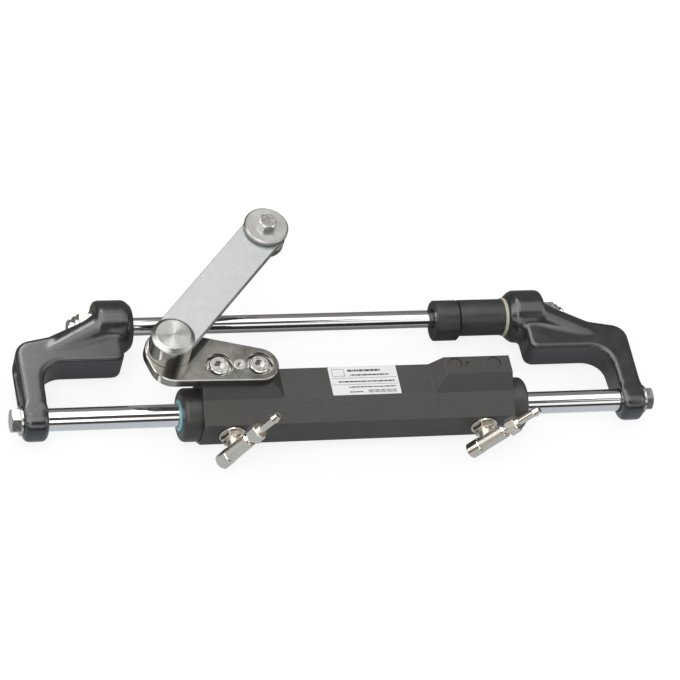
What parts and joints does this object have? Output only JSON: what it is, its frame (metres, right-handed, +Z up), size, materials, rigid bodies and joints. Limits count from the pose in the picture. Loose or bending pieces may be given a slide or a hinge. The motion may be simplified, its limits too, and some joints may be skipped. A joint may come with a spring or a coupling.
{
  "type": "hydraulic steering cylinder",
  "caption": "Front-mount hydraulic steering cylinder that slides on a rod held by two cranked arms, with a support rod, hose tees and a pivoting tiller link.",
  "frame": {"origin": "middle of the support rod, on its axis", "axes": "+X along both rods, towards the adjusting nut; +Y from the cylinder to the support rod and on to the engine; +Z up, from the bolt pads"},
  "size_m": [0.587, 0.2202, 0.1034],
  "materials": {
    "chrome_rod": "hard chrome, polished",
    "black_paint": "gloss black paint on cast alloy",
    "stainless": "machined",
    "dark_anodised": "dark anodised, satin",
    "ivory_nylon": "natural nylon",
    "piston_alloy": "turned",
    "seal_rubber": "moulded",
    "blue_wiper": "moulded, satin",
    "bronze": "turned",
    "nickel": "bright nickel",
    "polished_steel": "polished stainless",
    "link_steel": "satin, bead blasted"
  },
  "bodies": {
    "mount_frame": {"support_rod": "chrome_rod", "left_support_arm": "black_paint", "right_support_arm": "black_paint", "left_support_washer": "stainless", "right_support_washer": "stainless", "left_support_lock_nut": "stainless", "right_support_lock_nut": "stainless", "threaded_sleeve": "dark_anodised", "spacer_ring": "ivory_nylon", "piston_rod": "chrome_rod", "left_end_bolt": "stainless", "right_end_bolt": "stainless", "left_end_washer": "stainless", "right_end_washer": "stainless", "piston": "piston_alloy", "piston_seal": "seal_rubber", "left_retaining_ring": "stainless", "right_retaining_ring": "stainless"},
    "cylinder": {"cylinder_barrel": "dark_anodised", "left_end_gland": "dark_anodised", "right_end_gland": "dark_anodised", "left_guide_bush": "bronze", "right_guide_bush": "bronze", "left_rod_seal": "seal_rubber", "right_rod_seal": "seal_rubber", "left_rod_wiper": "blue_wiper", "right_rod_wiper": "blue_wiper", "left_gland_seal": "seal_rubber", "right_gland_seal": "seal_rubber", "left_port_washer": "nickel", "right_port_washer": "nickel", "left_port_nut": "nickel", "right_port_nut": "nickel", "left_tee_fitting": "nickel", "right_tee_fitting": "nickel", "pivot_plate": "polished_steel", "left_plate_washer": "stainless", "right_plate_washer": "stainless", "left_plate_screw": "stainless", "right_plate_screw": "stainless", "locating_screw": "stainless", "pivot_pin": "polished_steel", "pin_nut": "stainless"},
    "adjusting_nut": {"adjusting_nut": "dark_anodised"},
    "left_bleed_screw": {"left_bleed_screw": "nickel"},
    "right_bleed_screw": {"right_bleed_screw": "nickel"},
    "link_arm": {"pivot_hub": "polished_steel", "pivot_bush": "bronze", "link_bar": "link_steel", "tiller_bush": "bronze"},
    "tiller_bolt": {"top_disc": "polished_steel", "tiller_bolt": "stainless", "tiller_sleeve": "stainless", "lower_spacer": "polished_steel"}
  },
  "joints": [
    {"name": "steering_slide", "type": "slide", "parent": "mount_frame", "child": "cylinder", "axis": [1, 0, 0], "range_m": [-0.114, 0.09]},
    {"name": "link_pivot", "type": "hinge", "parent": "cylinder", "child": "link_arm", "pos_m": [-0.1565, -0.0595, 0.0563], "axis": [0, 0, 1], "range_deg": [-75, 75]},
    {"name": "tiller_bolt_turn", "type": "hinge", "parent": "link_arm", "child": "tiller_bolt", "pos_m": [-0.05429, 0.05502, 0.0623], "axis": [0, 0, 1], "range_deg": [-90, 90]},
    {"name": "adjusting_nut_turn", "type": "hinge", "parent": "mount_frame", "child": "adjusting_nut", "pos_m": [0.117, 0, 0], "axis": [1, 0, 0], "range_deg": [-180, 180]},
    {"name": "left_bleed_screw_turn", "type": "hinge", "parent": "cylinder", "child": "left_bleed_screw", "pos_m": [-0.103, -0.138, 0.005], "axis": [0.4695, 0, 0.8829], "range_deg": [0, 180]},
    {"name": "right_bleed_screw_turn", "type": "hinge", "parent": "cylinder", "child": "right_bleed_screw", "pos_m": [0.127, -0.138, 0.005], "axis": [0.6018, 0, 0.7986], "range_deg": [0, 180]}
  ]
}
